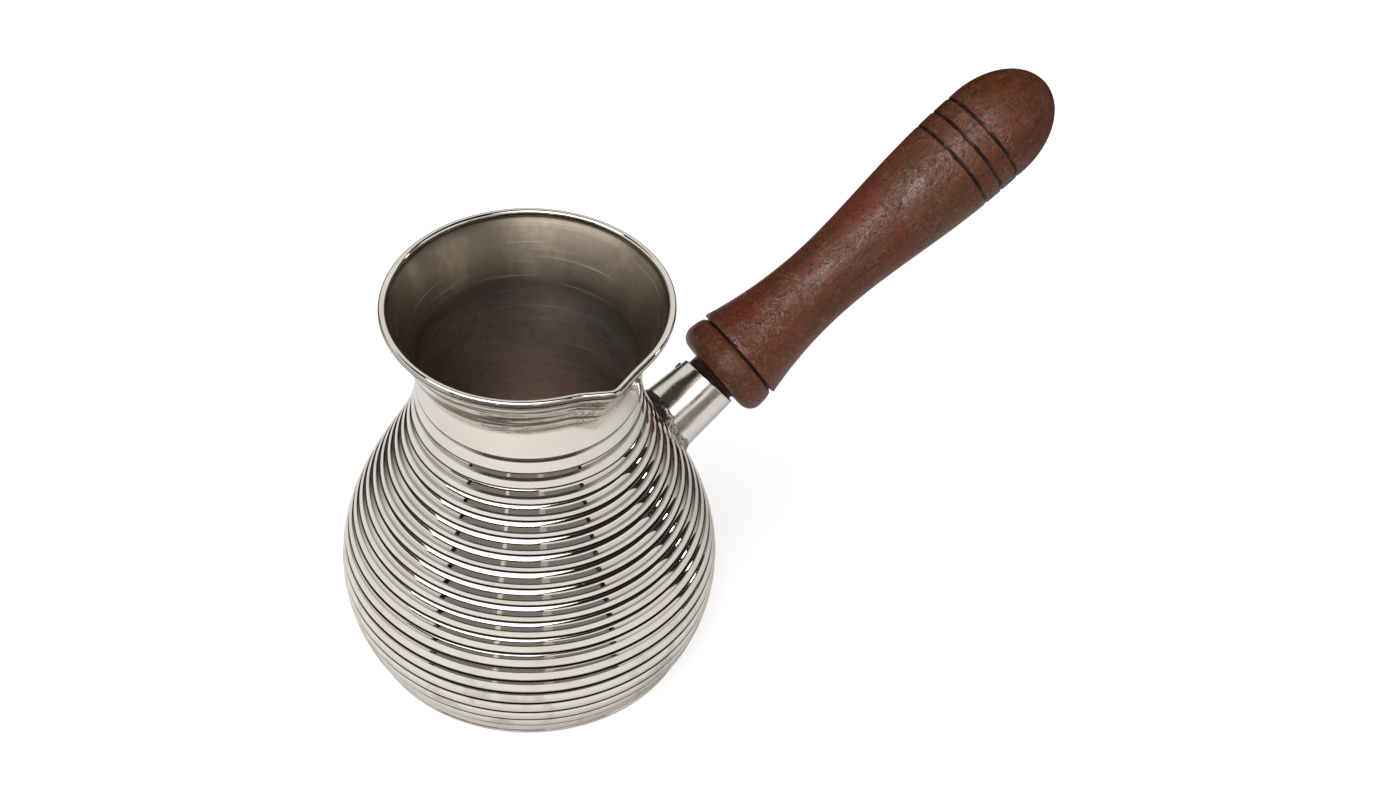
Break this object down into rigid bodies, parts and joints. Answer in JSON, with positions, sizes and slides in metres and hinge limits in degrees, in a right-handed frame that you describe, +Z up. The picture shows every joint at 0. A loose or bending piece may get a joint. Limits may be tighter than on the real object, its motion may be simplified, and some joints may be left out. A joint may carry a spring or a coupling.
{
  "type": "turkish coffee pot",
  "caption": "Long-handled coffee pot with a reeded pear-shaped metal vessel, a flared mouth with a side pouring lip, and a turned wooden handle pinned in a soldered socket.",
  "frame": {"origin": "centre of the flat base, on the surface the pot stands on", "axes": "+Z up along the vessel's centre line, +X towards the handle seen from above, pouring lip towards -Y"},
  "size_m": [0.1882, 0.0886, 0.1117],
  "materials": {
    "polished_silver": "polished silver, dark in the grooves, with fine wear",
    "solder": "dull lumpy solder",
    "turned_wood": "reddish brown hardwood, satin varnish, worn",
    "pin_metal": "darkened metal"
  },
  "bodies": {
    "root": {"vessel_body": "polished_silver", "base_disc": "polished_silver", "rim_wire": "polished_silver", "handle_socket": "polished_silver", "socket_solder": "solder", "wood_handle": "turned_wood", "handle_pin": "pin_metal"}
  },
  "joints": []
}
